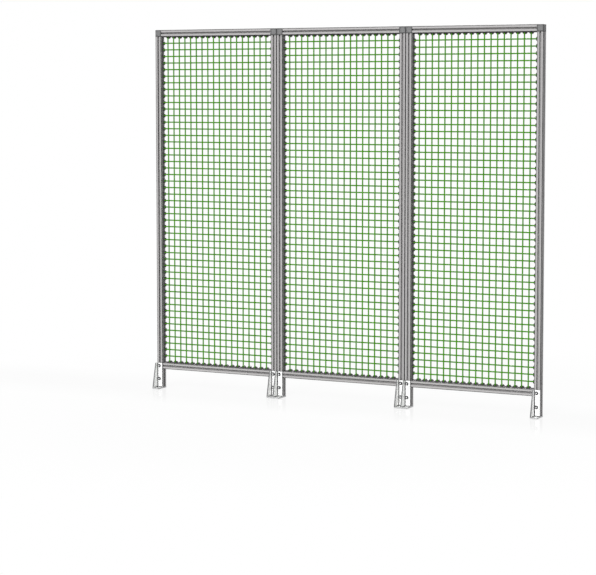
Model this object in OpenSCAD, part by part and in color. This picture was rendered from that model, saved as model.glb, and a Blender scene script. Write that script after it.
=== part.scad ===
// Machine guard fence: a run of framed wire mesh bays on floor brackets.
// X runs along the fence, Y points to its back and Z points up.
// The origin is on the underside of the first foot, below its post's centre.

/* [Fence] */
// Number of bays, side by side
bay_count = 3; // [1:1:4]
// Outer width of one bay
bay_w = 840; // [440:40:1240]
// Height of the fence above the floor
fence_h = 2200; // [1200:40:2600]
// Gap between the floor and the bottom rail
floor_gap = 120; // [100:10:200]

/* [Profile] */
// Side of the square slotted profile
profile_w = 40; // [38:1:45]
// Radius of the profile's edges
profile_r = 2; // [1:0.5:3]
// Width of a slot's mouth
slot_w = 8; // [6:0.5:10]
// Width of the bevel along each edge of a slot's mouth
mouth_bevel = 2; // [0.5:0.5:2.5]
// Thickness of the lips beside a slot's mouth
lip_t = 4.5; // [3:0.5:5]
// Width of a slot behind its lips
slot_inner_w = 20; // [16:0.5:21]
// Depth of a slot from the profile's face
slot_depth = 12.25; // [10:0.25:13]
// Depth of the straight part of a slot's inner sides
slot_side = 3; // [2:0.5:4]
// Diameter of the bore along the profile's core
core_d = 6.8; // [4:0.2:8]

/* [Corner blocks] */
// Radius of a corner block's edges
block_r = 2.5; // [1:0.5:4]
// Side of the square cap in a corner block's free faces
cap_w = 31; // [26:1:32]
// Width of the groove around a cap
cap_groove = 1; // [0.5:0.5:2]
// Depth of the groove around a cap
cap_groove_depth = 1.2; // [0.5:0.1:3]

/* [Mesh] */
// Distance between neighbouring wires
mesh_pitch = 40; // [30:5:60]
// Thickness of a wire with its coating
wire_d = 8; // [4:0.5:8]
// Depth to which crossing wires are fused
weld_depth = 1; // [0.5:0.1:2]
// Least distance from a frame face to the first wire
wire_margin = 30; // [25:1:35]
// Gap between a wire's end and the edging's base
wire_end_gap = 0.5; // [0.3:0.1:1]

/* [Edging] */
// Thickness of the edging's base on the frame face
edging_t = 4; // [2:0.5:6]
// How far a lobe reaches from the frame face
lobe_reach = 13.5; // [10:0.5:16]
// Radius of a lobe's round outline
lobe_r = 14; // [10:0.5:16]
// Place of the edging's front face, ahead of the frame's middle
edging_front = 3.5; // [3:0.5:6]
// Place of the edging's back face, behind the frame's middle
edging_back = 11; // [9:0.5:14]
// Clearance between a wire and the sides of its notch
notch_gap = 0.2; // [0.1:0.05:0.4]
// Clearance between the edging's tongue and the slot's lips
tongue_gap = 0.2; // [0.1:0.05:0.4]
// Gap between edging strips that meet at a corner
strip_gap = 0.3; // [0.2:0.1:1]

/* [Feet] */
// Thickness of a foot's plates
foot_t = 8; // [5:0.5:10]
// Height of a foot's upright plate above its base plate
foot_plate_h = 150; // [120:5:180]
// How far the base plate reaches in front of the post
foot_reach = 58; // [50:1:80]
// Depth of the gusset's top, ahead of the upright plate
gusset_top = 16; // [8:1:20]
// Diameter of the floor anchor's hole
anchor_d = 11; // [9:0.5:14]
// Distance of the anchor's hole from the base plate's front edge
anchor_inset = 22; // [18:1:26]

/* [Foot screws] */
// Height of the lower screw above the floor
low_screw_z = 60; // [40:1:70]
// Distance of the upper screw below the upright plate's top
high_screw_drop = 18; // [12:1:40]
// Thread diameter of a screw
screw_d = 8; // [6:1:8]
// Clearance between a screw and its hole
screw_gap = 0.5; // [0.3:0.1:1]
// Diameter of a screw's head
head_d = 14; // [10:0.5:16]
// Height of a screw's head
head_h = 5; // [4:0.5:10]
// Width across flats of the socket in a screw's head
socket_w = 5; // [4:1:8]
// Depth of the socket in a screw's head
socket_depth = 3; // [2:0.5:4]
// Diameter of a screw's washer
washer_d = 20; // [14:0.5:20]
// Thickness of a screw's washer
washer_t = 1.6; // [1:0.1:2.5]
// How far a screw reaches into the post's slot
screw_bite = 9; // [6:0.5:11]

/* [Hidden] */
PIECES = [
    "left_post", "right_post", "top_rail", "bottom_rail",
    "left_corner_block", "right_corner_block",
    "left_foot", "right_foot", "foot_screws",
    "lower_mesh", "middle_mesh", "upper_mesh",
    "side_edging", "rail_edging",
];

$fn = 48;
eps = 0.5;

// The frame of one bay
half_w = profile_w / 2;
open_w = bay_w - 2 * profile_w;
open_low = floor_gap + profile_w;
open_high = fence_h - profile_w;
open_h = open_high - open_low;
right_x = bay_w - profile_w;
open_x = half_w;

// The mesh of one bay
cols = floor((open_w - 2 * wire_margin) / mesh_pitch) + 1;
rows = floor((open_h - 2 * wire_margin) / mesh_pitch) + 1;
first_x = open_x + (open_w - (cols - 1) * mesh_pitch) / 2;
first_z = open_low + (open_h - (rows - 1) * mesh_pitch) / 2;
wire_y = (wire_d - weld_depth) / 2;
end_inset = edging_t + wire_end_gap;
third = floor(rows / 3);

// The tongue of the edging
tongue_w = slot_w - 2 * tongue_gap;

// The feet
plate_front = -half_w - foot_t;
foot_front = -half_w - foot_reach;
anchor_x = foot_t / 2;
foot_top = foot_t + foot_plate_h;
screw_heights = [low_screw_z, foot_top - high_screw_drop];

// A square with round corners, around its centre
module rounded_square(side, r) {
    straight = side - 2 * r;
    square([straight, side], center = true);
    square([side, straight], center = true);
    for (x = [-straight / 2, straight / 2], y = [-straight / 2, straight / 2])
        translate([x, y]) circle(r = r);
}

// The section of the slotted profile, around its centre
module profile_section() {
    difference() {
        rounded_square(profile_w, profile_r);
        for (turn = [0 : 90 : 270]) rotate(turn) slot_section();
        circle(d = core_d);
    }
}

// One slot of the profile, in its +X side
module slot_section() {
    lip_x = half_w - lip_t;
    side_x = lip_x - slot_side;
    floor_x = half_w - slot_depth;
    inner = slot_inner_w / 2;
    floor_y = inner - (side_x - floor_x);
    throat = slot_w / 2;
    mouth_y = throat + mouth_bevel + eps;
    mouth_x = half_w - mouth_bevel;
    polygon([
        [half_w + eps, -mouth_y], [mouth_x, -throat],
        [lip_x, -throat], [lip_x, -inner], [side_x, -inner],
        [floor_x, -floor_y], [floor_x, floor_y],
        [side_x, inner], [lip_x, inner], [lip_x, throat],
        [mouth_x, throat], [half_w + eps, mouth_y],
    ]);
}

// An upright from the foot's base plate to the corner block
module post(x) {
    color("silver") translate([x, 0, foot_t])
        linear_extrude(open_high - foot_t) profile_section();
}

// A rail between the two posts, with its lower face at z
module rail(z) {
    color("silver") translate([open_x, 0, z + half_w]) rotate([0, 90, 0])
        linear_extrude(open_w) profile_section();
}

// The groove around a cap in the block's top face
module cap_groove_ring() {
    translate([0, 0, half_w - cap_groove_depth]) linear_extrude(cap_groove_depth + eps)
        difference() {
            square(cap_w + 2 * cap_groove, center = true);
            square(cap_w, center = true);
        }
}

// The cube that joins a post's top to the rail, capped on its free faces.
// The rail is on its +X side when side is 1, and on its -X side when side is -1.
module corner_block(x, side) {
    color("dimgray") translate([x, 0, open_high + half_w]) difference() {
        intersection_for (turn = [[0, 0, 0], [90, 0, 0], [0, 90, 0]])
            rotate(turn) linear_extrude(profile_w, center = true)
                rounded_square(profile_w, block_r);
        for (turn = [[0, 0, 0], [90, 0, 0], [-90, 0, 0], [0, -90 * side, 0]])
            rotate(turn) cap_groove_ring();
    }
}

// Bars of the mesh from row first_row up to row last_row
module mesh_part(first_row, last_row) {
    low_z = first_row == 0 ? open_low + end_inset : first_z + (first_row - 0.5) * mesh_pitch;
    high_z = last_row == rows - 1 ? open_high - end_inset : first_z + (last_row + 0.5) * mesh_pitch;
    color("forestgreen") union() {
        for (col = [0 : cols - 1])
            translate([first_x + col * mesh_pitch - wire_d / 2, -wire_y - wire_d / 2, low_z])
                cube([wire_d, wire_d, high_z - low_z]);
        for (row = [first_row : last_row])
            translate([open_x + end_inset, wire_y - wire_d / 2, first_z + row * mesh_pitch - wire_d / 2])
                cube([open_w - 2 * end_inset, wire_d, wire_d]);
    }
}

// Outline of the edging seen from the front, with its base on Y = 0 and its run along X
module edging_outline(length, first, count) {
    square([length, edging_t]);
    intersection() {
        square([length, lobe_reach]);
        for (i = [0 : count - 1])
            translate([first + i * mesh_pitch, lobe_reach - lobe_r]) circle(r = lobe_r);
    }
}

// A strip of edging with its base on Z = 0, its run along X and its back towards +Y.
// A notch in each lobe holds a wire whose middle is at wire_mid.
module edging(length, first, count, wire_mid) {
    notch_w = wire_d + 2 * notch_gap;
    notch_back = wire_mid + wire_d / 2 + notch_gap;
    color([0.25, 0.22, 0.24]) difference() {
        union() {
            translate([0, edging_back, 0]) rotate([90, 0, 0])
                linear_extrude(edging_back + edging_front) edging_outline(length, first, count);
            translate([0, -tongue_w / 2, -lip_t]) cube([length, tongue_w, lip_t + eps]);
        }
        for (i = [0 : count - 1])
            translate([first + i * mesh_pitch - notch_w / 2, -edging_front - eps, edging_t])
                cube([notch_w, edging_front + eps + notch_back, lobe_reach]);
    }
}

// The two strips in the slots of the posts
module side_edging() {
    for (side = [0, 1])
        translate([open_x + side * open_w, 0, open_low]) mirror([side, 0, 0])
            rotate([0, -90, 0]) mirror([0, 0, 1])
                edging(open_h, first_z - open_low, rows, wire_y);
}

// The two strips in the slots of the rails, between the strips on the posts
module rail_edging() {
    inset = edging_t + strip_gap;
    for (side = [0, 1])
        translate([open_x + inset, 0, open_low + side * open_h]) mirror([0, 0, side])
            edging(open_w - 2 * inset, first_x - open_x - inset, cols, -wire_y);
}

// A bracket that carries a post on the floor, with its gusset on the -X edge
module foot(x) {
    depth = profile_w + foot_reach;
    color("white") translate([x, 0, 0]) difference() {
        union() {
            translate([-half_w, foot_front, 0]) cube([profile_w, depth, foot_t]);
            translate([-half_w, plate_front, 0]) cube([profile_w, foot_t, foot_top]);
            translate([-half_w + foot_t, 0, 0]) rotate([0, -90, 0]) linear_extrude(foot_t)
                polygon([
                    [0, plate_front + eps], [0, foot_front], [foot_t, foot_front],
                    [foot_top, plate_front - gusset_top], [foot_top, plate_front + eps],
                ]);
        }
        translate([anchor_x, foot_front + anchor_inset, -eps]) cylinder(d = anchor_d, h = foot_t + 2 * eps);
        for (z = screw_heights)
            translate([0, -half_w + eps, z]) rotate([90, 0, 0])
                cylinder(d = screw_d + 2 * screw_gap, h = foot_t + 2 * eps);
    }
}

// A socket head screw with its washer, seated on the foot's upright plate
module foot_screw(x, z) {
    translate([x, plate_front, z]) rotate([90, 0, 0]) difference() {
        union() {
            cylinder(d = washer_d, h = washer_t);
            cylinder(d = head_d, h = washer_t + head_h);
            translate([0, 0, -foot_t - screw_bite]) cylinder(d = screw_d, h = foot_t + screw_bite + eps);
        }
        translate([0, 0, washer_t + head_h - socket_depth])
            cylinder(d = socket_w / cos(30), h = socket_depth + eps, $fn = 6);
    }
}

module foot_screws() {
    color("dimgray") for (x = [0, right_x], z = screw_heights) foot_screw(x, z);
}

for (bay = [1 : bay_count]) translate([(bay - 1) * bay_w, 0, 0]) {
    post(0);
    post(right_x);
    rail(open_high);
    rail(floor_gap);
    corner_block(0, 1);
    corner_block(right_x, -1);
    foot(0);
    foot(right_x);
    foot_screws();
    mesh_part(0, third - 1);
    mesh_part(third, 2 * third - 1);
    mesh_part(2 * third, rows - 1);
    side_edging();
    rail_edging();
}
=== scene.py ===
import math

import bmesh
import bpy
from mathutils import Matrix, Vector


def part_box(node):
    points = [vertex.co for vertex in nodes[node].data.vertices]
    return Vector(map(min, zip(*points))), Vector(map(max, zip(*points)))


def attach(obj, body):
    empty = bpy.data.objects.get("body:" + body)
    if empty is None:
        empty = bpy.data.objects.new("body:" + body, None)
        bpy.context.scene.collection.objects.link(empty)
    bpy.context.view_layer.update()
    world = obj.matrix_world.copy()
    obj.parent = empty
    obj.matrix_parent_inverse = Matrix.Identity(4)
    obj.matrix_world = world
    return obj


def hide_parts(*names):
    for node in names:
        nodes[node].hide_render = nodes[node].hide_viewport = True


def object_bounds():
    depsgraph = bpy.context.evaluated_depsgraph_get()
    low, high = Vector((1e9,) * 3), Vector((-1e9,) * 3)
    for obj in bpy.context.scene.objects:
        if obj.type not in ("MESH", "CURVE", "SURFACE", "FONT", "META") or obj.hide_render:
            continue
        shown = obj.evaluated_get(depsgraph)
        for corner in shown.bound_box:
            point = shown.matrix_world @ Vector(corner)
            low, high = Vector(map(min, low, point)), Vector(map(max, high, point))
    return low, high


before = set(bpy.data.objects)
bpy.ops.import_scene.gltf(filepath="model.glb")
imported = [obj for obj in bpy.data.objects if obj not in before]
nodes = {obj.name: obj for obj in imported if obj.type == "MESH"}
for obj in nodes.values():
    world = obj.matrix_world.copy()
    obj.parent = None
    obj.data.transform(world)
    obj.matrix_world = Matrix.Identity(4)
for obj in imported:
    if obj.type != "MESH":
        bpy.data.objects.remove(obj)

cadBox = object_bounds()
bays = range(1, 1 + sum(name.startswith("left_post_") for name in nodes))

fullTurn = 2 * math.pi
quarterTurn = math.pi / 2
standUp = (quarterTurn, 0, 0)  # turns what lies flat so that its top faces -Y
near = 0.0001  # places closer than this, in metres, count as one
facing = 0.9  # least share of an axis in the normal of a face that looks along it


# Trees: one call adds a node, sets its options and fills or links its inputs

def addNode(tree, kind, values=None, **options):
    node = tree.nodes.new(kind)
    for name, value in options.items():
        setattr(node, name, value)
    for name, value in (values or {}).items():
        for each in value if isinstance(value, list) else [value]:
            if isinstance(each, bpy.types.NodeSocket):
                tree.links.new(each, node.inputs[name])
            else:
                node.inputs[name].default_value = each
    return node


def calculate(tree, operation, first, second=0.0):
    return addNode(tree, "ShaderNodeMath", {0: first, 1: second}, operation=operation).outputs[0]


def xyz(tree, x=0.0, y=0.0, z=0.0):
    return addNode(tree, "ShaderNodeCombineXYZ", {0: x, 1: y, 2: z}).outputs[0]


def newTree(name, kind, inputs, outputs):
    tree = bpy.data.node_groups.new(name, kind)
    for side, sockets in (("INPUT", inputs), ("OUTPUT", outputs)):
        for label, socketKind in sockets.items():
            tree.interface.new_socket(label, in_out=side, socket_type="NodeSocket" + socketKind)
    given = tree.nodes.new("NodeGroupInput").outputs
    result = tree.nodes.new("NodeGroupOutput").inputs
    return tree, given, result


def standingGrid(tree, size, counts, middle):
    # Points in rows and columns on an upright plane that faces -Y
    grid = addNode(tree, "GeometryNodeMeshGrid", {
        "Size X": size[0], "Size Y": size[1], "Vertices X": counts[0], "Vertices Y": counts[1]}).outputs[0]
    return addNode(tree, "GeometryNodeTransform", {
        "Geometry": grid, "Translation": middle, "Rotation": standUp}).outputs[0]


def copiesOn(tree, points, instance, **more):
    return addNode(tree, "GeometryNodeInstanceOnPoints", {
        "Points": points, "Instance": instance, **more}).outputs[0]


def endTree(tree, geometry, given, result):
    real = addNode(tree, "GeometryNodeRealizeInstances", {"Geometry": geometry}).outputs[0]
    painted = addNode(tree, "GeometryNodeSetMaterial", {"Geometry": real, "Material": given["Material"]})
    tree.links.new(painted.outputs[0], result["Geometry"])


# Meshes

def newObject(name, mesh):
    piece = bpy.data.objects.new(name, mesh)
    bpy.context.scene.collection.objects.link(piece)
    return piece


def bakeMesh(holder):
    bpy.context.view_layer.update()
    seen = holder.evaluated_get(bpy.context.evaluated_depsgraph_get())
    mesh = bpy.data.meshes.new_from_object(seen)
    bpy.data.objects.remove(holder)
    return mesh


def addBevel(holder, width, segments=2, angle=40):
    bevel = holder.modifiers.new("soften", "BEVEL")
    bevel.width = width
    bevel.segments = segments
    bevel.limit_method = "ANGLE"
    bevel.angle_limit = math.radians(angle)


def grow(tree, values, bevelWidth=0.0):
    holder = newObject("seed", bpy.data.meshes.new("seed"))
    modifier = holder.modifiers.new("grow", "NODES")
    modifier.node_group = tree
    for item in tree.interface.items_tree:
        if item.in_out == "INPUT":
            modifier[item.identifier] = values[item.name]
    if bevelWidth:
        addBevel(holder, bevelWidth)
    return bakeMesh(holder)


def loft(levels, turn=Matrix()):
    # A closed solid through (height, outline) levels from low to high; outlines run anticlockwise
    count = len(levels[0][1])
    corners = [turn @ Vector((x, y, z)) for z, outline in levels for x, y in outline]
    faces = [list(range(count))[::-1], list(range(len(corners) - count, len(corners)))]
    for start in range(0, len(corners) - count, count):
        for i in range(count):
            j = (i + 1) % count
            faces.append([start + i, start + j, start + j + count, start + i + count])
    mesh = bpy.data.meshes.new("loft")
    mesh.from_pydata(corners, [], faces)
    return mesh


def prism(outline, low, high, turn=Matrix()):
    return loft([(low, outline), (high, outline)], turn)


def block(low, high):
    outline = [(low[0], low[1]), (high[0], low[1]), (high[0], high[1]), (low[0], high[1])]
    return prism(outline, low[2], high[2])


def circlePoints(radius, steps, middle=(0.0, 0.0), start=0.0, sweep=fullTurn):
    # An arc's points with both its ends, or a whole circle's with none twice
    turns = [start + sweep * i / steps for i in range(steps if sweep == fullTurn else steps + 1)]
    return [(middle[0] + radius * math.cos(a), middle[1] + radius * math.sin(a)) for a in turns]


def fuse(solids, cuts=(), bevelWidth=0.0):
    holder = newObject("fused", solids[0])
    spare = []
    for operation, meshes in (("UNION", solids[1:]), ("DIFFERENCE", cuts)):
        for mesh in meshes:
            spare.append(newObject("spare", mesh))
            step = holder.modifiers.new(operation.lower(), "BOOLEAN")
            step.operation = operation
            step.solver = "EXACT"
            step.object = spare[-1]
    if bevelWidth:
        addBevel(holder, bevelWidth)
    mesh = bakeMesh(holder)
    for thing in spare:
        bpy.data.objects.remove(thing)
    return mesh


def fitting(span, pitch):
    # How many pitches fit into a span, where a hair too little still counts as one
    return int(span / pitch + near)


def joined(meshes, numbers=None):
    # One mesh from several, whose faces take the finish numbers given or keep their own
    form = bmesh.new()
    for i, mesh in enumerate(meshes):
        if numbers:
            mesh.polygons.foreach_set("material_index", [numbers[i]] * len(mesh.polygons))
        form.from_mesh(mesh)
    whole = bpy.data.meshes.new("joined")
    form.to_mesh(whole)
    form.free()
    return whole


def finishPiece(name, mesh, finishes, replaced, smoothAngle=35):
    # A face keeps the finish that its tree gave it, or else its number in the list of finishes
    given = list(mesh.materials)
    numbers = []
    for face in mesh.polygons:
        own = given[face.material_index] if given else None
        numbers.append(finishes.index(own) if own in finishes else face.material_index)
    mesh.materials.clear()
    for finish in finishes:
        mesh.materials.append(finish)
    for face, number in zip(mesh.polygons, numbers):
        face.material_index = number
        face.use_smooth = True
    mesh.set_sharp_from_angle(angle=math.radians(smoothAngle))
    piece = newObject(name, mesh)
    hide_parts(*replaced)
    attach(piece, "root")
    return piece


# Camera, light and floor

cameraSizes = {
    "place": (6.552, -10.636, 1.841),
    "left": 27.427,  # degrees to the left of straight ahead
    "down": 4.579,  # degrees below level
    "lens": 122.6,
    "sensor": 36.0,
    "shift": (-0.02, -0.06),
    "farthest": 200.0,
}

lightSizes = {
    "sun": (2.5, (0.07, -0.84, 0.53)),  # strength, and the direction it comes from
    "backSun": (1.85, (-0.2, 0.85, 0.48)),
    "sunSoftness": 20.0,  # degrees
    "skyStrength": 0.19,
    "skyColour": (0.96, 0.98, 1.0, 1.0),
    "backdropColour": (1.0, 1.0, 1.0, 1.0),
    "floorReach": 60.0,
    "floorColour": (0.84, 0.84, 0.84, 1.0),
    "floorClear": 0.96,  # how much of the floor's white hides its shading from the camera
    "floorShine": 0.12,  # share of its white that is mirrored at the fence rather than its own
    "floorShineRough": 0.05,
    "floorShineReach": (0.12, 0.55),  # where it begins to fade in front of the fence, and ends
    "fadeStart": 1.4,  # how far from the fence's middle the shading begins to fade to white
    "fadeEnd": 3.2,
}


def makeCamera(sizes):
    data = bpy.data.cameras.new("camera")
    data.lens = sizes["lens"]
    data.sensor_width = sizes["sensor"]
    data.shift_x, data.shift_y = sizes["shift"]
    data.clip_end = sizes["farthest"]
    camera = bpy.data.objects.new("camera", data)
    camera.location = sizes["place"]
    camera.rotation_euler = (math.radians(90 - sizes["down"]), 0, math.radians(sizes["left"]))
    bpy.context.scene.collection.objects.link(camera)
    bpy.context.scene.camera = camera


def seesBackground(tree):
    # 1 for what is seen outright, in a shine or through something, 0 for the light on the fence
    rays = addNode(tree, "ShaderNodeLightPath").outputs
    shiny = calculate(tree, "MAXIMUM", rays["Is Glossy Ray"], rays["Is Transmission Ray"])
    return calculate(tree, "MAXIMUM", rays["Is Camera Ray"], shiny)


def makeSky(sizes):
    world = bpy.data.worlds.new("sky")
    world.use_nodes = True
    tree = world.node_tree
    tree.nodes.clear()
    light = addNode(tree, "ShaderNodeBackground", {
        "Color": sizes["skyColour"], "Strength": sizes["skyStrength"]})
    white = addNode(tree, "ShaderNodeBackground", {"Color": sizes["backdropColour"], "Strength": 1.0})
    mix = addNode(tree, "ShaderNodeMixShader", {
        0: seesBackground(tree), 1: light.outputs[0], 2: white.outputs[0]})
    addNode(tree, "ShaderNodeOutputWorld", {"Surface": mix.outputs[0]})
    bpy.context.scene.world = world


def makeFloor(sizes):
    reach = sizes["floorReach"]
    mesh = bpy.data.meshes.new("floor")
    corners = [(-reach, -reach, 0), (reach, -reach, 0), (reach, reach, 0), (-reach, reach, 0)]
    mesh.from_pydata(corners, [], [(0, 1, 2, 3)])
    material = bpy.data.materials.new("paleFloor")
    material.use_nodes = True
    tree = material.node_tree
    tree.nodes.clear()
    matt = addNode(tree, "ShaderNodeBsdfDiffuse", {"Color": sizes["floorColour"]})
    white = addNode(tree, "ShaderNodeEmission", {"Color": sizes["backdropColour"], "Strength": 1.0})
    shine = addNode(tree, "ShaderNodeBsdfGlossy", {"Roughness": sizes["floorShineRough"]})
    middle = (cadBox[0] + cadBox[1]) / 2
    place = addNode(tree, "ShaderNodeTexCoord").outputs["Object"]
    ahead = calculate(tree, "ABSOLUTE", addNode(tree, "ShaderNodeSeparateXYZ", {0: place}).outputs["Y"])
    start, end = sizes["floorShineReach"]
    mirror = addNode(tree, "ShaderNodeMapRange", {
        "Value": ahead, "From Min": start, "From Max": end, "To Min": sizes["floorShine"], "To Max": 0.0})
    clear = addNode(tree, "ShaderNodeMixShader", {
        0: mirror.outputs[0], 1: white.outputs[0], 2: shine.outputs[0]})
    away = addNode(tree, "ShaderNodeVectorMath", {
        0: place, 1: (middle.x, middle.y, 0)}, operation="DISTANCE")
    fade = addNode(tree, "ShaderNodeMapRange", {
        "Value": away.outputs["Value"], "From Min": sizes["fadeStart"], "From Max": sizes["fadeEnd"],
        "To Min": sizes["floorClear"], "To Max": 1.0}, interpolation_type="SMOOTHSTEP")
    share = calculate(tree, "MULTIPLY", fade.outputs[0], seesBackground(tree))
    mix = addNode(tree, "ShaderNodeMixShader", {0: share, 1: matt.outputs[0], 2: clear.outputs[0]})
    addNode(tree, "ShaderNodeOutputMaterial", {"Surface": mix.outputs[0]})
    mesh.materials.append(material)
    newObject("floor", mesh)


def makeSun(name, sizes):
    strength, comesFrom = sizes[name]
    data = bpy.data.lights.new(name, "SUN")
    data.energy = strength
    data.angle = math.radians(sizes["sunSoftness"])
    sun = bpy.data.objects.new(name, data)
    sun.rotation_euler = Vector(comesFrom).to_track_quat("Z", "Y").to_euler()
    bpy.context.scene.collection.objects.link(sun)


makeCamera(cameraSizes)
makeSky(lightSizes)
makeFloor(lightSizes)
makeSun("sun", lightSizes)
makeSun("backSun", lightSizes)
bpy.context.scene.view_settings.view_transform = "Standard"
print("stage is set")


# Shader groups shared by the materials

def mapTo(tree, value, low, high, start, end):
    return addNode(tree, "ShaderNodeMapRange", {
        "Value": value, "From Min": start, "From Max": end, "To Min": low, "To Max": high}).outputs[0]


maskSizes = {
    "edgeFaint": 0.97,  # how well the rounded and the flat normal agree where the edge band begins
    "edgeFull": 0.75,
    "edgeSamples": 4,
    "patchStart": 0.4,  # noise levels between which the edge colour comes in
    "patchEnd": 0.65,
    "turnStart": 0.995,  # largest part of the normal, where a surface begins to count as turned
    "mottleStart": 0.3,  # noise levels between which one colour gives way to the other
    "mottleEnd": 0.7,
}


def makeGrainGroup():
    # Fine noise in the object's own metres, stretched by Stretch, as a value around 0.5
    tree, given, result = newTree("grain", "ShaderNodeTree", {
        "Stretch": "Vector", "Scale": "Float", "Detail": "Float"}, {"Value": "Float"})
    place = addNode(tree, "ShaderNodeTexCoord").outputs["Object"]
    spread = addNode(tree, "ShaderNodeVectorMath", {0: place, 1: given["Stretch"]}, operation="MULTIPLY")
    noise = addNode(tree, "ShaderNodeTexNoise", {
        "Vector": spread.outputs[0], "Scale": given["Scale"], "Detail": given["Detail"], "Roughness": 0.55})
    tree.links.new(noise.outputs[0], result["Value"])
    return tree


def makeEdgeGroup(sizes):
    # 1 within Radius of a sharp edge, 0 on flat faces, in patches unless Evenness is 1
    tree, given, result = newTree("edgeWearAndShadeMask", "ShaderNodeTree", {
        "Radius": "Float", "Patchiness": "Float", "Evenness": "Float"}, {"Mask": "Float"})
    rounded = addNode(tree, "ShaderNodeBevel", {
        "Radius": given["Radius"]}, samples=sizes["edgeSamples"]).outputs[0]
    flat = addNode(tree, "ShaderNodeNewGeometry").outputs["Normal"]
    along = addNode(tree, "ShaderNodeVectorMath", {0: rounded, 1: flat}, operation="DOT_PRODUCT")
    edge = mapTo(tree, along.outputs["Value"], 0.0, 1.0, sizes["edgeFaint"], sizes["edgeFull"])
    place = addNode(tree, "ShaderNodeTexCoord").outputs["Object"]
    patch = addNode(tree, "ShaderNodeTexNoise", {
        "Vector": place, "Scale": given["Patchiness"], "Detail": 3.0}).outputs[0]
    worn = mapTo(tree, patch, given["Evenness"], 1.0, sizes["patchStart"], sizes["patchEnd"])
    tree.links.new(calculate(tree, "MULTIPLY", edge, worn), result["Mask"])
    return tree


def makeTurnGroup(sizes):
    # 1 where a surface leans away from the object's own axes, as it does on a rounded edge
    tree, given, result = newTree("roundTurn", "ShaderNodeTree", {"Lean": "Float"}, {"Mask": "Float"})
    normal = addNode(tree, "ShaderNodeTexCoord").outputs["Normal"]
    size = addNode(tree, "ShaderNodeVectorMath", {0: normal}, operation="ABSOLUTE").outputs[0]
    parts = addNode(tree, "ShaderNodeSeparateXYZ", {0: size}).outputs
    most = calculate(tree, "MAXIMUM", calculate(tree, "MAXIMUM", parts["X"], parts["Y"]), parts["Z"])
    turn = mapTo(tree, most, 0.0, 1.0, sizes["turnStart"], given["Lean"])
    tree.links.new(turn, result["Mask"])
    return tree


grainGroup = makeGrainGroup()
edgeGroup = makeEdgeGroup(maskSizes)
turnGroup = makeTurnGroup(maskSizes)


def useGroup(tree, group, **values):
    node = tree.nodes.new("ShaderNodeGroup")
    node.node_tree = group
    for name, value in values.items():
        node.inputs[name.capitalize()].default_value = value
    return node.outputs[0]


def mixColour(tree, share, first, second):
    node = addNode(tree, "ShaderNodeMix", {"Factor": share, 6: first, 7: second}, data_type="RGBA")
    return node.outputs[2]


def makeMaterial(name, look):
    # One finish: two near colours mixed by a broad mottle, grain in roughness and height, and an edge colour:
    # wear where lighter, painted shade where darker
    mottle = (maskSizes["mottleStart"], maskSizes["mottleEnd"])
    material = bpy.data.materials.new(name)
    material.use_nodes = True
    tree = material.node_tree
    tree.nodes.clear()
    fine = useGroup(tree, grainGroup, stretch=look["stretch"], scale=look["grainScale"], detail=4.0)
    broad = useGroup(tree, grainGroup, stretch=look["stretch"], scale=look["mottleScale"], detail=2.0)
    colour = mixColour(tree, mapTo(tree, broad, 0.0, 1.0, *mottle), look["dark"], look["light"])
    colour = mixColour(tree, mapTo(tree, fine, 0.0, look["fleck"], *mottle), colour, look["fleckColour"])
    edge = useGroup(tree, edgeGroup, radius=look["edgeRadius"], patchiness=look["patchiness"],
                    evenness=look["evenness"])
    # Edge colour: wear where it is lighter, painted shade where it is darker
    colour = mixColour(tree, calculate(tree, "MULTIPLY", edge, look["edgeWearAndShade"]), colour, look["edgeWearAndShadeColour"])
    # Painted shade on rounded edges, where the surface leans away from the object's axes
    if "turned" in look:
        turn = useGroup(tree, turnGroup, lean=look["lean"])
        colour = mixColour(tree, calculate(tree, "MULTIPLY", turn, look["turned"]), colour, look["edgeWearAndShadeColour"])
    # Painted shade from the piece's own attribute, dark in slot mouths and along rounded edges
    if "grime" in look:
        grime = addNode(tree, "ShaderNodeAttribute", attribute_name="grime").outputs["Fac"]
        colour = mixColour(tree, grime, colour, look["grime"])
    rough = mapTo(tree, fine, look["smooth"], look["rough"], *mottle)
    bump = addNode(tree, "ShaderNodeBump", {
        "Strength": look["bump"], "Distance": look["bumpDepth"], "Height": fine})
    shader = addNode(tree, "ShaderNodeBsdfPrincipled", {
        "Base Color": colour, "Roughness": rough, "Normal": bump.outputs[0],
        "Metallic": look["metallic"], "Specular IOR Level": look["specular"],
        "Coat Weight": look["coat"], "Coat Roughness": look["coatRough"]})
    addNode(tree, "ShaderNodeOutputMaterial", {"Surface": shader.outputs[0]})
    return material


def grey(level):
    # A hair bluish, as bare and painted metal is
    return (level, level, level * 1.01, 1.0)


def warmGrey(level):
    # A little reddish, as anodised aluminium is
    return (level * 1.03, level, level, 1.0)


aluminiumLook = {
    "dark": warmGrey(0.39), "light": warmGrey(0.46), "fleck": 0.12, "fleckColour": warmGrey(0.30),
    "stretch": (1.0, 1.0, 0.004), "grainScale": 1600.0, "mottleScale": 220.0,
    "smooth": 0.34, "rough": 0.48, "bump": 0.12, "bumpDepth": 0.0001,
    "edgeRadius": 0.0006, "patchiness": 60.0, "evenness": 0.0, "edgeWearAndShade": 0.35, "edgeWearAndShadeColour": grey(0.6),
    "metallic": 0.1, "specular": 0.3, "coat": 0.0, "coatRough": 0.25,
}
# Bars: painted shade, near black along the rounded edges and in the slots' mouths
barLook = {
    **aluminiumLook, "edgeRadius": 0.005, "evenness": 0.8, "edgeWearAndShade": 0.85, "edgeWearAndShadeColour": grey(0.05),
    "grime": grey(0.04),
}
railLook = {**barLook, "dark": warmGrey(0.42), "light": warmGrey(0.5), "stretch": (0.004, 1.0, 1.0)}
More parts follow.
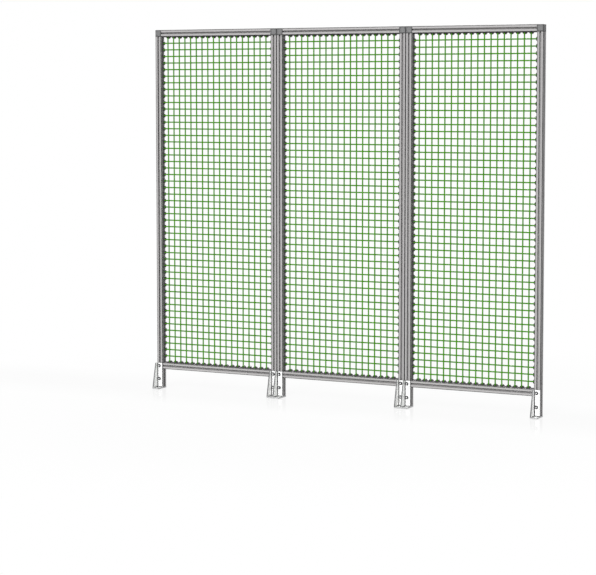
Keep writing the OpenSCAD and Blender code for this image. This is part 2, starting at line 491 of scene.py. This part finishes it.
# Blocks: painted shade, near black along the edges and rounded edges, where blocks meet
blockLook = {
    **aluminiumLook, "dark": grey(0.19), "light": grey(0.23), "fleck": 0.25, "fleckColour": grey(0.16),
    "stretch": (1.0, 1.0, 1.0), "grainScale": 900.0, "mottleScale": 60.0,
    "smooth": 0.45, "rough": 0.6, "bump": 0.2,
    "edgeRadius": 0.014, "evenness": 0.9, "edgeWearAndShade": 0.95, "edgeWearAndShadeColour": grey(0.02),
}
castLook = {**blockLook, "turned": 0.85, "lean": 0.93}
footLook = {
    **blockLook, "dark": (0.90, 0.90, 0.895, 1), "light": (0.93, 0.93, 0.925, 1),
    "fleck": 0.08, "fleckColour": (0.82, 0.82, 0.81, 1), "grainScale": 700.0, "mottleScale": 25.0,
    "smooth": 0.28, "rough": 0.38, "edgeRadius": 0.0008, "edgeWearAndShade": 0.4, "edgeWearAndShadeColour": grey(0.5),
    "metallic": 0.0, "specular": 0.8, "coat": 0.8,
}
wireLook = {
    **footLook, "dark": (0.054, 0.252, 0.002, 1), "light": (0.078, 0.32, 0.004, 1),
    "fleck": 0.15, "fleckColour": (0.045, 0.2, 0.003, 1), "grainScale": 600.0, "mottleScale": 12.0,
    "smooth": 0.38, "rough": 0.5, "edgeWearAndShade": 0.12, "edgeWearAndShadeColour": (0.1, 0.3, 0.02, 1),
    "specular": 0.18, "coat": 0.0,
}
edgingLook = {
    **footLook, "dark": (0.034, 0.030, 0.033, 1), "light": (0.048, 0.043, 0.047, 1),
    "fleck": 0.25, "fleckColour": (0.05, 0.046, 0.05, 1), "grainScale": 1200.0, "mottleScale": 30.0,
    "smooth": 0.45, "rough": 0.6, "edgeWearAndShade": 0.3, "edgeWearAndShadeColour": (0.07, 0.065, 0.07, 1),
    "specular": 0.3, "coat": 0.0,
}
padLook = {
    **edgingLook, "dark": (0.27, 0.26, 0.27, 1), "light": (0.33, 0.32, 0.33, 1),
    "fleckColour": (0.2, 0.195, 0.2, 1), "specular": 0.5,
}
# Painted shade: grey on the feet's narrow edge faces, lighter grey round the base plate
edgeShadeLook = {
    **footLook, "dark": grey(0.12), "light": grey(0.17), "fleckColour": grey(0.1), "edgeWearAndShade": 0.2, "coat": 0.2,
}
rimShadeLook = {**edgeShadeLook, "dark": grey(0.48), "light": grey(0.58), "fleckColour": grey(0.38)}
# Painted shade: near black weld seams, in the corners where the plates meet
seamShadeLook = {
    **edgeShadeLook, "dark": grey(0.035), "light": grey(0.06), "fleckColour": grey(0.03), "mottleScale": 120.0,
    "smooth": 0.45, "rough": 0.6, "specular": 0.3, "coat": 0.0,
}
# Black washers, and painted shade on the screw head's rounded rim
blackWasherAndRimShadeLook = {
    **blockLook, "dark": grey(0.014), "light": grey(0.022), "fleckColour": grey(0.04),
    "smooth": 0.4, "rough": 0.55, "edgeWearAndShade": 0.2, "edgeWearAndShadeColour": grey(0.06), "specular": 0.25,
}
screwLook = {
    **aluminiumLook, "dark": grey(0.8), "light": grey(0.88), "fleckColour": grey(0.65),
    "stretch": (1.0, 1.0, 1.0), "grainScale": 900.0, "mottleScale": 200.0,
    "smooth": 0.25, "rough": 0.38, "metallic": 0.3,
}

uprightFinish = makeMaterial("anodisedUpright", barLook)
railFinish = makeMaterial("anodisedRail", railLook)
blockFinish = makeMaterial("castBlock", castLook)
footFinish = makeMaterial("whiteFoot", footLook)
wireFinish = makeMaterial("greenWire", wireLook)
edgingFinish = makeMaterial("blackEdging", edgingLook)
edgeShadeFinish = makeMaterial("footCutEdge", edgeShadeLook)
rimShadeFinish = makeMaterial("footRim", rimShadeLook)
seamShadeFinish = makeMaterial("footSeam", seamShadeLook)
padFinish = makeMaterial("greyPad", padLook)
screwFinish = makeMaterial("platedScrew", screwLook)
blackWasherAndRimShadeFinish = makeMaterial("blackWasherAndRimShade", blackWasherAndRimShadeLook)
print("materials are made")


# Posts and rails: one slotted section, drawn out to each bar's length

profileSizes = {
    "mouth": 0.008,  # width of a slot's mouth
    "mouthBevel": 0.002,  # along each edge of the mouth
    "lip": 0.0045,  # thickness of the lips beside it
    "inner": 0.020,  # width behind the lips
    "side": 0.003,  # straight depth behind the lips
    "depth": 0.01225,
    "edgeRadius": 0.0032,
    "edgeLine": 0.0008,  # how far the painted shade on a rounded edge fades out over the faces beside it
    "lipRadius": 0.0004,
    "rootRadius": 0.0005,
    "arcSteps": 4,
    "grimeStart": 0.0004,  # depth below a face where the painted shade in a slot begins
    "grimeDeep": 0.0018,  # and where it is darkest
    "grimeReach": 0.005,  # how far from a slot's middle it ends, so the undercut gets none
}


def roundedOutline(corners, steps):
    # Each corner is (x, y, radius), and one without a radius stays sharp
    points = []
    for i, (x, y, radius) in enumerate(corners):
        if not radius:
            points.append((x, y))
            continue
        here = Vector((x, y))
        back = (Vector(corners[i - 1][:2]) - here).normalized()
        ahead = (Vector(corners[(i + 1) % len(corners)][:2]) - here).normalized()
        half = back.angle(ahead) / 2
        middle = here + (back + ahead).normalized() * radius / math.sin(half)
        first = here + back * radius / math.tan(half) - middle
        last = here + ahead * radius / math.tan(half) - middle
        turn = first.angle_signed(last)
        for step in range(steps + 1):
            points.append(tuple(middle + Matrix.Rotation(-turn * step / steps, 2) @ first))
    return points


def slottedOutline(width, sizes):
    # A square section with one slot in the middle of each side
    half, mouth, inner = width / 2, sizes["mouth"] / 2, sizes["inner"] / 2
    lipX = half - sizes["lip"]
    sideX = lipX - sizes["side"]
    floorX = half - sizes["depth"]
    floorY = inner - (sideX - floorX)
    lip, root = sizes["lipRadius"], sizes["rootRadius"]
    cut = sizes["mouthBevel"]
    lower = [(half, -mouth - cut, lip), (half - cut, -mouth, lip), (lipX, -mouth, lip),
             (lipX, -inner, root), (sideX, -inner, root), (floorX, -floorY, root)]
    upper = [(x, -y, radius) for x, y, radius in reversed(lower)]
    lineEnd = half - sizes["edgeRadius"] - sizes["edgeLine"]
    oneSide = [(half, -half, sizes["edgeRadius"]), (half, -lineEnd, 0), *lower, *upper, (half, lineEnd, 0)]
    corners = []
    for quarter in range(4):
        turn = Matrix.Rotation(quarterTurn * quarter, 2)
        corners += [(*(turn @ Vector((x, y))), radius) for x, y, radius in oneSide]
    return roundedOutline(corners, sizes["arcSteps"])


def makeBar(node, upright, sizes):
    low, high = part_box(node)
    middle = (low + high) / 2
    outline = slottedOutline(high.y - low.y, sizes)
    if upright:
        turn = Matrix.Translation((middle.x, middle.y, 0))
        mesh = prism(outline, low.z, high.z, turn)
    else:
        turn = Matrix.Translation((0, middle.y, middle.z)) @ Matrix.Rotation(quarterTurn, 4, "Y")
        mesh = prism(outline, low.x, high.x, turn)
    # Painted shade: dark in the slots' mouths and along the rounded edges
    half = (high.y - low.y) / 2
    start, deep = sizes["grimeStart"], sizes["grimeDeep"]
    paintedShades = mesh.attributes.new("grime", "FLOAT", "POINT").data
    for corner, grime in zip(mesh.vertices, paintedShades):
        place = corner.co - middle
        across = (abs(place.x if upright else place.z), abs(place.y))
        below, beside = half - max(across), min(across)
        onEdge = beside > half - sizes["edgeRadius"] - near
        inMouth = beside < sizes["grimeReach"]
        depth = min(1.0, max(0.0, (below - start) / (deep - start)))
        grime.value = 1.0 if onEdge else depth * inMouth
    finish = uprightFinish if upright else railFinish
    finishPiece(node + "_bar", mesh, [finish], [node])


for bay in bays:
    for side in ("left", "right"):
        makeBar(f"{side}_post_{bay}", True, profileSizes)
    for side in ("top", "bottom"):
        makeBar(f"{side}_rail_{bay}", False, profileSizes)
print("posts and rails are drawn")


# Corner blocks keep their solids

for bay in bays:
    for side in ("left", "right"):
        nodes[f"{side}_corner_block_{bay}"].data.materials[0] = blockFinish


# Wire mesh: round uprights in front of round cross wires, welded where they cross

wireSizes = {
    "pitch": 0.040,
    "radius": 0.004,
    "fused": 0.001,  # how deep crossing wires sink into each other
    "sides": 14,
    "weld": (0.0050, 0.0026, 0.0050),
    "weldSpread": 0.06,  # share by which one weld may be larger or smaller than that
    "smoothAngle": 50,
}


def makeMeshTree():
    tree, given, result = newTree("weldedMesh", "GeometryNodeTree", {
        "Columns": "Int", "Rows": "Int", "Pitch": "Float", "Radius": "Float", "Sides": "Int",
        "Upright Length": "Float", "Cross Length": "Float", "Upright Start": "Vector",
        "Cross Start": "Vector", "Weld Middle": "Vector", "Weld Size": "Vector", "Weld Spread": "Float",
        "Seed": "Int", "Material": "Material"}, {"Geometry": "Geometry"})
    section = addNode(tree, "GeometryNodeCurvePrimitiveCircle", {
        "Resolution": given["Sides"], "Radius": given["Radius"]}).outputs[0]

    def wires(end, count, start, step):
        line = addNode(tree, "GeometryNodeCurvePrimitiveLine", {"End": end}).outputs[0]
        wire = addNode(tree, "GeometryNodeCurveToMesh", {
            "Curve": line, "Profile Curve": section, "Fill Caps": True}).outputs[0]
        places = addNode(tree, "GeometryNodeMeshLine", {
            "Count": count, "Start Location": start, "Offset": step}).outputs[0]
        return copiesOn(tree, places, wire)

    uprights = wires(xyz(tree, z=given["Upright Length"]), given["Columns"], given["Upright Start"],
                     xyz(tree, x=given["Pitch"]))
    crossings = wires(xyz(tree, x=given["Cross Length"]), given["Rows"], given["Cross Start"],
                      xyz(tree, z=given["Pitch"]))
    wide = calculate(tree, "MULTIPLY", calculate(tree, "SUBTRACT", given["Columns"], 1.0), given["Pitch"])
    tall = calculate(tree, "MULTIPLY", calculate(tree, "SUBTRACT", given["Rows"], 1.0), given["Pitch"])
    grid = standingGrid(tree, (wide, tall), (given["Columns"], given["Rows"]), given["Weld Middle"])
    bead = addNode(tree, "GeometryNodeMeshIcoSphere", {"Radius": 1.0, "Subdivisions": 2}).outputs[0]
    least = calculate(tree, "SUBTRACT", 1.0, given["Weld Spread"])
    most = calculate(tree, "ADD", 1.0, given["Weld Spread"])
    chance = addNode(tree, "FunctionNodeRandomValue", {2: least, 3: most, "Seed": given["Seed"]}).outputs[1]
    size = addNode(tree, "ShaderNodeVectorMath", {
        0: given["Weld Size"], "Scale": chance}, operation="SCALE").outputs[0]
    welds = copiesOn(tree, grid, bead, Scale=size)
    whole = addNode(tree, "GeometryNodeJoinGeometry", {"Geometry": [uprights, crossings, welds]}).outputs[0]
    endTree(tree, whole, given, result)
    return tree


def makeWireMesh(bay, tree, sizes):
    names = [f"{part}_mesh_{bay}" for part in ("lower", "middle", "upper")]
    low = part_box(names[0])[0]
    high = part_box(names[2])[1]
    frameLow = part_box(f"bottom_rail_{bay}")[1].z
    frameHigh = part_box(f"top_rail_{bay}")[0].z
    wide, tall, pitch = high.x - low.x, frameHigh - frameLow, sizes["pitch"]
    columns = fitting(wide, pitch)
    rows = fitting(tall, pitch) - 1
    middle = (low + high) / 2
    middle.z = (frameLow + frameHigh) / 2
    offset = sizes["radius"] - sizes["fused"] / 2
    firstX = middle.x - (columns - 1) * pitch / 2
    firstZ = middle.z - (rows - 1) * pitch / 2
    mesh = grow(tree, {
        "Columns": columns, "Rows": rows, "Pitch": pitch, "Radius": sizes["radius"], "Sides": sizes["sides"],
        "Upright Length": high.z - low.z, "Cross Length": wide,
        "Upright Start": (firstX, middle.y - offset, low.z),
        "Cross Start": (low.x, middle.y + offset, firstZ),
        "Weld Middle": middle, "Weld Size": sizes["weld"], "Weld Spread": sizes["weldSpread"],
        "Seed": bay, "Material": wireFinish})
    finishPiece(f"wire_mesh_{bay}", mesh, [wireFinish], names, sizes["smoothAngle"])


meshTree = makeMeshTree()
for bay in bays:
    makeWireMesh(bay, meshTree, wireSizes)
print("wire mesh is woven")


# Edging: a base strip with a tongue, and a notched lobe at each wire

edgingSizes = {
    "base": 0.004,
    "lobeReach": 0.0135,
    "lobeRadius": 0.014,
    "lobeSoft": 0.0014,  # rounding of a lobe's front and back rims
    "lobeRim": ((0.0, 1.0), (0.3, 0.3), (1.0, 0.0)),  # its depth and inset, as shares of that
    "front": 0.0035,
    "back": 0.011,
    "tongue": 0.0076,
    "tongueDepth": 0.0045,
    "notchGap": 0.0002,
    "bevel": 0.0005,
    "lobeSteps": 20,
}


def makeEdgingTree():
    tree, given, result = newTree("scallopedEdging", "GeometryNodeTree", {
        "Base": "Object", "Lobe": "Object", "Notch": "Object", "First": "Float", "Count": "Int",
        "Pitch": "Float", "Material": "Material"}, {"Geometry": "Geometry"})
    places = addNode(tree, "GeometryNodeMeshLine", {
        "Count": given["Count"], "Start Location": xyz(tree, x=given["First"]),
        "Offset": xyz(tree, x=given["Pitch"])}).outputs[0]

    def shape(name):
        return addNode(tree, "GeometryNodeObjectInfo", {"Object": given[name]}).outputs["Geometry"]

    lobes = copiesOn(tree, places, shape("Lobe"))
    body = addNode(tree, "GeometryNodeMeshBoolean", {
        "Mesh 2": [shape("Base"), lobes]}, operation="UNION", solver="EXACT").outputs[0]
    notches = copiesOn(tree, places, shape("Notch"))
    notched = addNode(tree, "GeometryNodeMeshBoolean", {
        "Mesh 1": body, "Mesh 2": notches}, operation="DIFFERENCE", solver="EXACT").outputs[0]
    endTree(tree, notched, given, result)
    return tree


def makeStrip(tree, length, first, count, wireMiddle, padded, sizes):
    # Runs along X with its base on z = 0, its lobes towards +Z and its notches open towards -Y
    front, back, base = -sizes["front"], sizes["back"], sizes["base"]
    reach, radius, soft = sizes["lobeReach"], sizes["lobeRadius"], sizes["lobeSoft"]
    tongue = sizes["tongue"] / 2
    bar = fuse([block((0, front, 0), (length, back, base)),
                block((0, -tongue, -sizes["tongueDepth"]), (length, tongue, base / 2))])
    rim = []
    for depth, inset in sizes["lobeRim"]:
        arc = radius - inset * soft
        low = math.asin((base / 2 - reach + radius) / arc)
        outline = circlePoints(arc, sizes["lobeSteps"], (0, reach - radius), low, math.pi - 2 * low)
        rim.append((depth * soft, outline))
    levels = [(depth - back, outline) for depth, outline in rim]
    levels += [(-front - depth, outline) for depth, outline in reversed(rim)]
    lobe = loft(levels, Matrix.Rotation(quarterTurn, 4, "X"))
    slotHalf = wireSizes["radius"] + sizes["notchGap"]
    notchOutline = circlePoints(slotHalf, sizes["lobeSteps"] // 2, (0, wireMiddle), 0.0, math.pi)
    notchOutline += [(-slotHalf, front - base), (slotHalf, front - base)]
    notch = prism(notchOutline, base, reach + base)
    meshes = {"Base": bar, "Lobe": lobe, "Notch": notch}
    shapes = {name: newObject(name, mesh) for name, mesh in meshes.items()}
    mesh = grow(tree, {
        **shapes, "First": first, "Count": count, "Pitch": wireSizes["pitch"],
        "Material": edgingFinish}, sizes["bevel"])
    for thing in shapes.values():
        bpy.data.objects.remove(thing)
    mesh.materials.append(padFinish)
    for face in mesh.polygons:  # the base's open face, between the lobes
        isOpen = face.normal.z > facing and abs(face.center.z - base) < near
        face.material_index = int(padded and isOpen)
    return mesh


def makeEdging(bay, tree, sizes):
    pitch = wireSizes["pitch"]
    wireOffset = wireSizes["radius"] - wireSizes["fused"] / 2
    low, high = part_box(f"side_edging_{bay}")
    tongue = sizes["tongueDepth"]
    low.x, high.x = low.x + tongue, high.x - tongue
    tall = high.z - low.z
    rows = fitting(tall, pitch) - 1
    first = (tall - (rows - 1) * pitch) / 2
    strip = makeStrip(tree, tall, first, rows, wireOffset, True, sizes)
    # Its length goes up the post, and its lobes point into the bay
    leftPlace = Matrix(((0, 0, 1, low.x), (0, 1, 0, 0), (1, 0, 0, low.z), (0, 0, 0, 1)))
    rightPlace = Matrix(((0, 0, -1, high.x), (0, 1, 0, 0), (1, 0, 0, low.z), (0, 0, 0, 1)))
    finishEdging(f"side_edging_{bay}", strip, (leftPlace, rightPlace))

    low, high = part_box(f"rail_edging_{bay}")
    low.z, high.z = low.z + tongue, high.z - tongue
    wide = high.x - low.x
    columns = fitting(wide, pitch)
    first = (wide - (columns - 1) * pitch) / 2
    strip = makeStrip(tree, wide, first, columns, -wireOffset, False, sizes)
    lowerPlace = Matrix.Translation((low.x, 0, low.z))
    upperPlace = Matrix.Translation((low.x, 0, high.z)) @ Matrix.Scale(-1, 4, (0, 0, 1))
    finishEdging(f"rail_edging_{bay}", strip, (lowerPlace, upperPlace))


def finishEdging(node, strip, places):
    copies = []
    for place in places:
        copy = strip.copy()
        copy.transform(place)
        if place.determinant() < 0:  # a mirrored copy comes out inside out
            copy.flip_normals()
        copies.append(copy)
    finishPiece(node + "_strip", joined(copies), [edgingFinish, padFinish], [node])


edgingTree = makeEdgingTree()
for bay in bays:
    makeEdging(bay, edgingTree, edgingSizes)
print("edging is cut")


# Feet: plates welded to each other, then softened by the powder coat

footSizes = {
    "plate": 0.008,
    "gussetTop": 0.016,
    "anchorRadius": 0.0055,
    "anchorInset": 0.022,
    "anchorSteps": 32,
    "bevel": 0.0009,
    "apart": 0.001,  # a cut edge's faces lie at least this far out from the plates' inner faces
    "weldRadius": 0.0044,
    "weldStep": 0.0015,
    "dropLeast": 0.94,  # how much smaller or larger one drop of the weld may be
    "dropMost": 1.04,
    "seams": 3,  # each takes a seed of its own
}


def makeBeadTree():
    # A line of overlapping drops, as a weld leaves them in a corner
    tree, given, result = newTree("weldBead", "GeometryNodeTree", {
        "From": "Vector", "To": "Vector", "Radius": "Float", "Step": "Float", "Least": "Float",
        "Most": "Float", "Seed": "Int", "Material": "Material"}, {"Geometry": "Geometry"})
    line = addNode(tree, "GeometryNodeCurvePrimitiveLine", {
        "Start": given["From"], "End": given["To"]}).outputs[0]
    steps = addNode(tree, "GeometryNodeResampleCurve", {
        "Curve": line, "Length": given["Step"]}, mode="LENGTH").outputs[0]
    drop = addNode(tree, "GeometryNodeMeshIcoSphere", {
        "Radius": given["Radius"], "Subdivisions": 2}).outputs[0]
    chance = addNode(tree, "FunctionNodeRandomValue", {
        2: given["Least"], 3: given["Most"], "Seed": given["Seed"]}).outputs[1]
    endTree(tree, copiesOn(tree, steps, drop, Scale=chance), given, result)
    return tree


def makeFoot(node, tree, sizes, seed):
    low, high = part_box(node)
    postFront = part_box(node.replace("foot", "post"))[0].y
    plate = sizes["plate"]
    plateFront = postFront - plate
    base = block(low, (high.x, high.y, low.z + plate))
    upright = block((low.x, plateFront, low.z), (high.x, postFront, high.z))
    gussetTop = plateFront - sizes["gussetTop"]
    outline = [(low.y, low.z), (postFront - plate / 2, low.z), (postFront - plate / 2, high.z),
               (gussetTop, high.z), (low.y, low.z + plate)]
    turn = Matrix(((0, 0, 1, 0), (1, 0, 0, 0), (0, 1, 0, 0), (0, 0, 0, 1)))  # (y, z) drawn out along X
    gusset = prism(outline, low.x, low.x + plate, turn)
    holeMiddle = ((low.x + plate + high.x) / 2, low.y + sizes["anchorInset"])
    hole = circlePoints(sizes["anchorRadius"], sizes["anchorSteps"], holeMiddle)
    body = fuse([base, upright, gusset], [prism(hole, low.z - plate, low.z + 2 * plate)], sizes["bevel"])
    inner, seat, end = low.x + plate, low.z + plate, sizes["weldRadius"]
    seams = [
        ((inner + end, plateFront, seat), (high.x - end, plateFront, seat)),
        ((inner, plateFront, seat + end), (inner, plateFront, high.z - end)),
        ((inner, plateFront - end, seat), (inner, low.y + 2 * end, seat)),
    ]
    parts = [body]
    for number, (start, stop) in enumerate(seams):
        parts.append(grow(tree, {
            "From": start, "To": stop, "Radius": sizes["weldRadius"], "Step": sizes["weldStep"],
            "Least": sizes["dropLeast"], "Most": sizes["dropMost"], "Seed": seed + number,
            "Material": seamShadeFinish}))
    # White paint, then painted shade: grey on the plates' narrow edges, near black in the weld seams, lighter
    # grey round the base plate's edges
    finishes = [footFinish, edgeShadeFinish, seamShadeFinish, rimShadeFinish]
    paint, cut, seamShade, rim = range(len(finishes))
    whole = joined(parts, [paint] + [seamShade] * len(seams))
    for face in whole.polygons:
        painted = face.material_index == paint
        if painted and isCutEdge(face, plateFront, postFront, inner, seat, sizes["apart"]):
            inHole = math.dist(face.center[:2], holeMiddle) < 2 * sizes["anchorRadius"]
            face.material_index = rim if face.center.z < seat and not inHole else cut
    finishPiece(node + "_bracket", whole, finishes, [node])


def isCutEdge(face, front, back, inner, seat, apart):
    # The narrow faces round each plate, which are painted grey as shade
    place, normal = face.center, face.normal
    if abs(normal.z) > facing:
        return place.z > seat + apart
    if abs(normal.x) > facing:
        return place.x > inner + apart
    return place.y < front - apart or place.y > back + apart


beadTree = makeBeadTree()
for bay in bays:
    for number, side in enumerate(("left", "right")):
        makeFoot(f"{side}_foot_{bay}", beadTree, footSizes, footSizes["seams"] * (2 * bay + number))
print("feet are welded")


# Foot screws: one turned shape with a hexagonal socket, set at the four places of a bay

screwSizes = {
    "washerRadius": 0.010,
    "washer": 0.0016,
    "headRadius": 0.007,
    "head": 0.005,
    "dome": 0.0028,  # how far the head's rim rounds inwards and down
    "domeSteps": 4,
    "socket": 0.005,  # across its flats
    "socketDepth": 0.0018,
    "chamfer": 0.0008,
    "steps": 40,
}


def turned(profile, steps):
    # A closed solid from (radius, height) points, turned about Z from the lower end to the upper
    form = bmesh.new()
    rings = []
    for radius, height in profile:
        points = circlePoints(radius, steps)
        rings.append([form.verts.new((x, y, height)) for x, y in points])
    for lower, upper in zip(rings, rings[1:]):
        for i in range(steps):
            j = (i + 1) % steps
            form.faces.new((lower[i], lower[j], upper[j], upper[i]))
    form.faces.new(rings[0][::-1])
    form.faces.new(rings[-1])
    mesh = bpy.data.meshes.new("turned")
    form.to_mesh(mesh)
    form.free()
    return mesh


def makeScrewMesh(sizes):
    wide, thick, cut = sizes["washerRadius"], sizes["washer"], sizes["chamfer"]
    narrow, top = sizes["headRadius"], sizes["washer"] + sizes["head"]
    dome = sizes["dome"]
    profile = [(wide - cut / 2, 0), (wide, cut / 2), (wide, thick - cut / 2), (wide - cut / 2, thick),
               (narrow, thick)]
    for i in range(sizes["domeSteps"] + 1):
        turn = quarterTurn * i / sizes["domeSteps"]
        profile.append((narrow - dome * (1 - math.cos(turn)), top - dome * (1 - math.sin(turn))))
    hexagon = circlePoints(sizes["socket"] / 2 / math.cos(math.pi / 6), 6)
    socket = prism(hexagon, top - sizes["socketDepth"], top + cut)
    mesh = fuse([turned(profile, sizes["steps"])], [socket])
    for finish in (screwFinish, blackWasherAndRimShadeFinish):
        mesh.materials.append(finish)
    bright, dark = range(2)
    for face in mesh.polygons:  # a bright middle; a black washer, and painted shade on the head's rounded rim
        face.material_index = bright if Vector(face.center[:2]).length < narrow - dome else dark
    return mesh


def makeScrewTree():
    tree, given, result = newTree("footScrews", "GeometryNodeTree", {
        "Screw": "Object", "Middle": "Vector", "Wide": "Float", "Tall": "Float",
        "Bright Material": "Material", "Dark Material": "Material"}, {"Geometry": "Geometry"})
    grid = standingGrid(tree, (given["Wide"], given["Tall"]), (2, 2), given["Middle"])
    screw = addNode(tree, "GeometryNodeObjectInfo", {"Object": given["Screw"]}).outputs["Geometry"]
    screws = copiesOn(tree, grid, screw, Rotation=standUp)
    real = addNode(tree, "GeometryNodeRealizeInstances", {"Geometry": screws}).outputs[0]
    isDark = addNode(tree, "GeometryNodeInputMaterialIndex").outputs[0]
    painted = addNode(tree, "GeometryNodeSetMaterial", {
        "Geometry": real, "Selection": isDark, "Material": given["Dark Material"]}).outputs[0]
    isBright = addNode(tree, "FunctionNodeBooleanMath", {0: isDark}, operation="NOT").outputs[0]
    painted = addNode(tree, "GeometryNodeSetMaterial", {
        "Geometry": painted, "Selection": isBright, "Material": given["Bright Material"]}).outputs[0]
    tree.links.new(painted, result["Geometry"])
    return tree


def makeScrews(bay, tree, screw, sizes):
    low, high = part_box(f"foot_screws_{bay}")
    edge = sizes["washerRadius"]
    seat = low.y + sizes["washer"] + sizes["head"]
    mesh = grow(tree, {
        "Screw": screw, "Middle": ((low.x + high.x) / 2, seat, (low.z + high.z) / 2),
        "Wide": high.x - low.x - 2 * edge, "Tall": high.z - low.z - 2 * edge,
        "Bright Material": screwFinish, "Dark Material": blackWasherAndRimShadeFinish})
    finishPiece(f"foot_screws_{bay}_set", mesh, [screwFinish, blackWasherAndRimShadeFinish],
                [f"foot_screws_{bay}"])


screwTree = makeScrewTree()
screwShape = newObject("screwShape", makeScrewMesh(screwSizes))
for bay in bays:
    makeScrews(bay, screwTree, screwShape, screwSizes)
bpy.data.objects.remove(screwShape)
print("screws are set")
